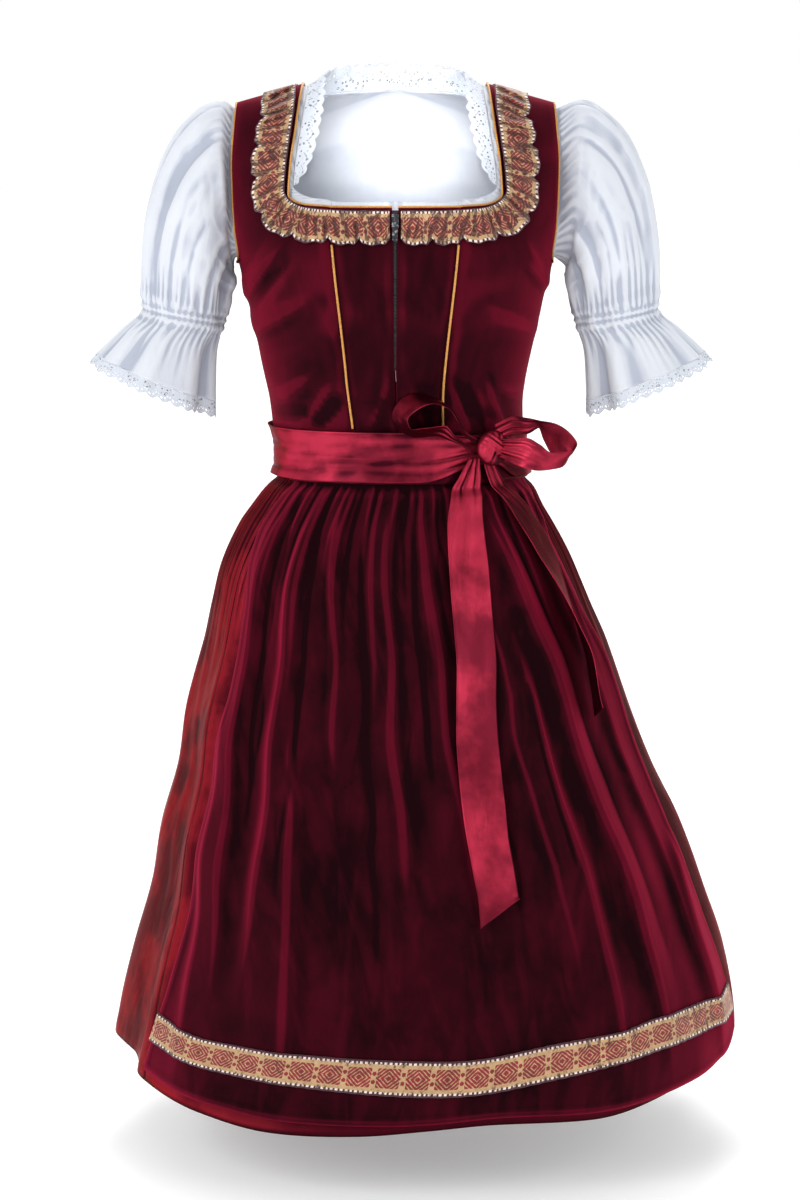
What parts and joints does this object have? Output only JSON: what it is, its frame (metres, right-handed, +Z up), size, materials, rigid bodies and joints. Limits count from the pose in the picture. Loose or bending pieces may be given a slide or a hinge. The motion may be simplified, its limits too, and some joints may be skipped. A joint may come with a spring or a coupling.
{
  "type": "dirndl",
  "caption": "Hollow dirndl: velvet bodice with a zip, taffeta skirt, apron with ribbon bow and woven braid, and a puff-sleeved blouse with lace.",
  "frame": {"origin": "middle of the line between the shoulder seams at the neck, where the dress hangs on the wearer", "axes": "+Z up, front towards -Y, the wearer's left towards +X"},
  "size_m": [0.7152, 0.5738, 1.102],
  "materials": {
    "velvet": "deep burgundy velvet with a soft nap",
    "taffeta": "shot taffeta, burgundy over a darker warp",
    "ribbon": "wide shot taffeta ribbon",
    "cotton": "fine white cotton",
    "lace": "white cotton lace with pointed edge",
    "jacquard": "woven braid, burgundy figures on gold",
    "gold_cord": "twisted golden yellow cord",
    "zip": "black coil zip with lacquered slider"
  },
  "bodies": {
    "dress": {"centre_front_right": "velvet", "side_front_right": "velvet", "bodice_back_right": "velvet", "centre_front_left": "velvet", "side_front_left": "velvet", "bodice_back_left": "velvet", "skirt_front": "taffeta", "skirt_back_right": "taffeta", "skirt_back_left": "taffeta", "apron": "velvet", "apron_braid": "jacquard", "apron_waistband": "taffeta", "tie_ribbon": "ribbon", "bow_knot": "ribbon", "bow_loop_right": "ribbon", "bow_loop_left": "ribbon", "bow_tail_front": "ribbon", "bow_tail_back": "ribbon", "blouse_front": "cotton", "blouse_back": "cotton", "sleeve_right": "cotton", "cuff_lace_right": "lace", "sleeve_left": "cotton", "cuff_lace_left": "lace", "neck_lace": "lace", "neck_braid_right": "jacquard", "neck_braid_left": "jacquard", "neck_braid_back": "jacquard", "princess_cord_right": "gold_cord", "armhole_piping_right": "gold_cord", "princess_cord_left": "gold_cord", "armhole_piping_left": "gold_cord", "neck_piping": "gold_cord", "zip_tape": "zip", "zip_slider": "zip"},
    "zip_pull": {"zip_pull_tab": "zip"}
  },
  "joints": [
    {"name": "zip_pull_swing", "type": "hinge", "parent": "dress", "child": "zip_pull", "pos_m": [-0.005, -0.12618, -0.14062], "axis": [1, 0, 0], "range_deg": [-150, 0]}
  ]
}
